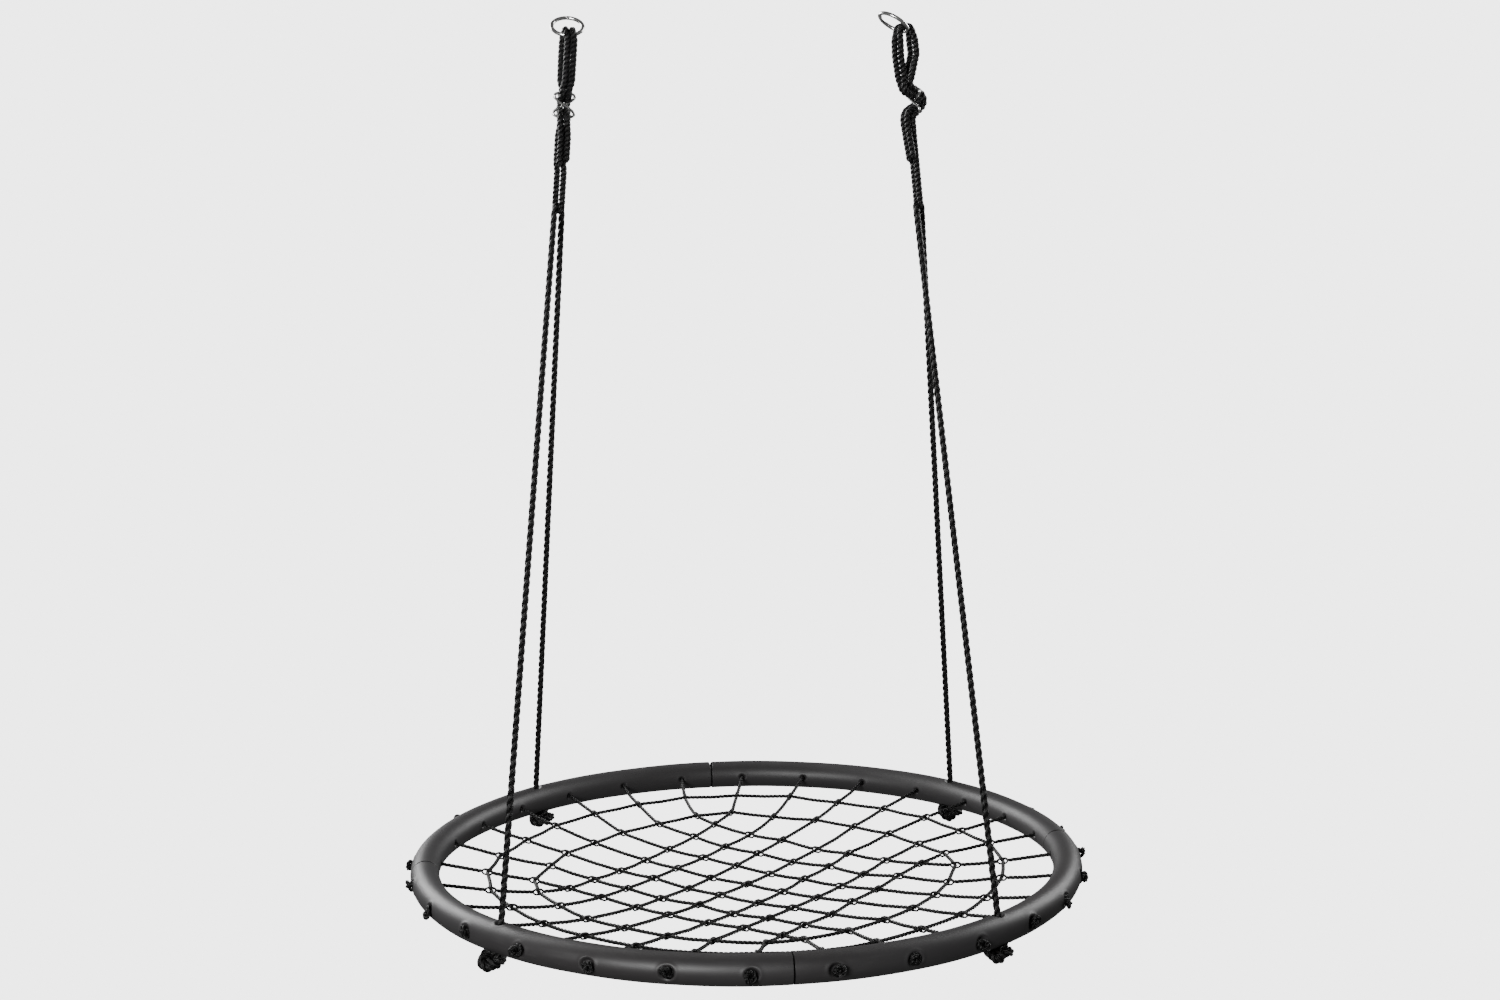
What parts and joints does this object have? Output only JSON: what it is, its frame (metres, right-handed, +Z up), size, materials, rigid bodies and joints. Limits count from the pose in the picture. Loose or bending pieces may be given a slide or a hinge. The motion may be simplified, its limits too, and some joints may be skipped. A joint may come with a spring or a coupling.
{
  "type": "nest swing",
  "caption": "Round nest swing: a padded steel ring laced with a rope net, hung by two rope pairs with bent-wire adjusters and metal rings.",
  "frame": {"origin": "middle of the hanging line, which runs through the lowest wire of both hanging rings", "axes": "+Z up, +X along the hanging line to the swing's right, +Y to its back, across the direction of the hanging line"},
  "size_m": [1.0226, 1.0226, 1.2981],
  "materials": {
    "tube_steel": "satin",
    "foam": "satin",
    "net_rope": "matte",
    "main_rope": "matte",
    "sling_rope": "matte",
    "bright_wire": "gloss"
  },
  "bodies": {
    "hang_rings": {"hang_ring_left": "bright_wire", "hang_ring_right": "bright_wire"},
    "slings": {"sling_loop_left": "sling_rope", "sling_loop_right": "sling_rope"},
    "adjusters": {"adjuster_left": "bright_wire", "adjuster_right": "bright_wire", "sling_weave_left": "sling_rope", "sling_weave_right": "sling_rope"},
    "links": {"sling_legs_left": "sling_rope", "sling_legs_right": "sling_rope"},
    "rope_left": {"main_rope_left": "main_rope"},
    "rope_right": {"main_rope_right": "main_rope"},
    "seat": {"ring_tube_1": "tube_steel", "ring_tube_2": "tube_steel", "ring_tube_3": "tube_steel", "ring_tube_4": "tube_steel", "tube_joiner_1": "tube_steel", "tube_joiner_2": "tube_steel", "tube_joiner_3": "tube_steel", "tube_joiner_4": "tube_steel", "joiner_rivets": "tube_steel", "foam_sleeve_1": "foam", "foam_sleeve_2": "foam", "foam_sleeve_3": "foam", "foam_sleeve_4": "foam", "net_rope_a1": "net_rope", "net_rope_a2": "net_rope", "net_rope_a3": "net_rope", "net_rope_a4": "net_rope", "net_rope_a5": "net_rope", "net_rope_a6": "net_rope", "net_rope_a7": "net_rope", "net_rope_b1": "net_rope", "net_rope_b2": "net_rope", "net_rope_b3": "net_rope", "net_rope_b4": "net_rope", "net_rope_b5": "net_rope", "net_rope_b6": "net_rope", "net_rope_b7": "net_rope", "net_ring_rope_outer": "net_rope", "net_ring_rope_inner": "net_rope", "stopper_knot_1": "main_rope", "stopper_knot_2": "main_rope", "stopper_knot_3": "main_rope", "stopper_knot_4": "main_rope"}
  },
  "joints": [
    {"name": "swing", "type": "hinge", "parent": "hang_rings", "child": "slings", "pos_m": [0, 0, 0], "axis": [1, 0, 0], "range_deg": [-45, 45]},
    {"name": "adjuster_slide", "type": "slide", "parent": "slings", "child": "adjusters", "axis": [0, 0, 1], "range_m": [-0.025, 0.045], "deforming": ["sling_loop_left", "sling_loop_right"]},
    {"name": "seat_height", "type": "slide", "parent": "adjusters", "child": "links", "axis": [0, 0, 1], "range_m": [-0.09, 0.05], "deforming": ["sling_legs_left", "sling_legs_right"]},
    {"name": "sway", "type": "hinge", "parent": "links", "child": "rope_left", "pos_m": [-0.25874, 0, -0.24], "axis": [0, 1, 0], "range_deg": [-10, 10]},
    {"name": "sway_right", "type": "hinge", "parent": "links", "child": "rope_right", "pos_m": [0.25874, 0, -0.24], "axis": [0, 1, 0], "range_deg": [-10, 10]},
    {"name": "seat_tilt", "type": "hinge", "parent": "rope_left", "child": "seat", "pos_m": [-0.33835, 0, -1.1935], "axis": [0, 1, 0], "range_deg": [-8, 8]}
  ],
  "couplings": [
    {"joint": "seat_height", "follows": "adjuster_slide", "ratio": -2},
    {"joint": "sway_right", "follows": "sway", "ratio": 1},
    {"joint": "seat_tilt", "follows": "sway", "ratio": -0.7647}
  ]
}
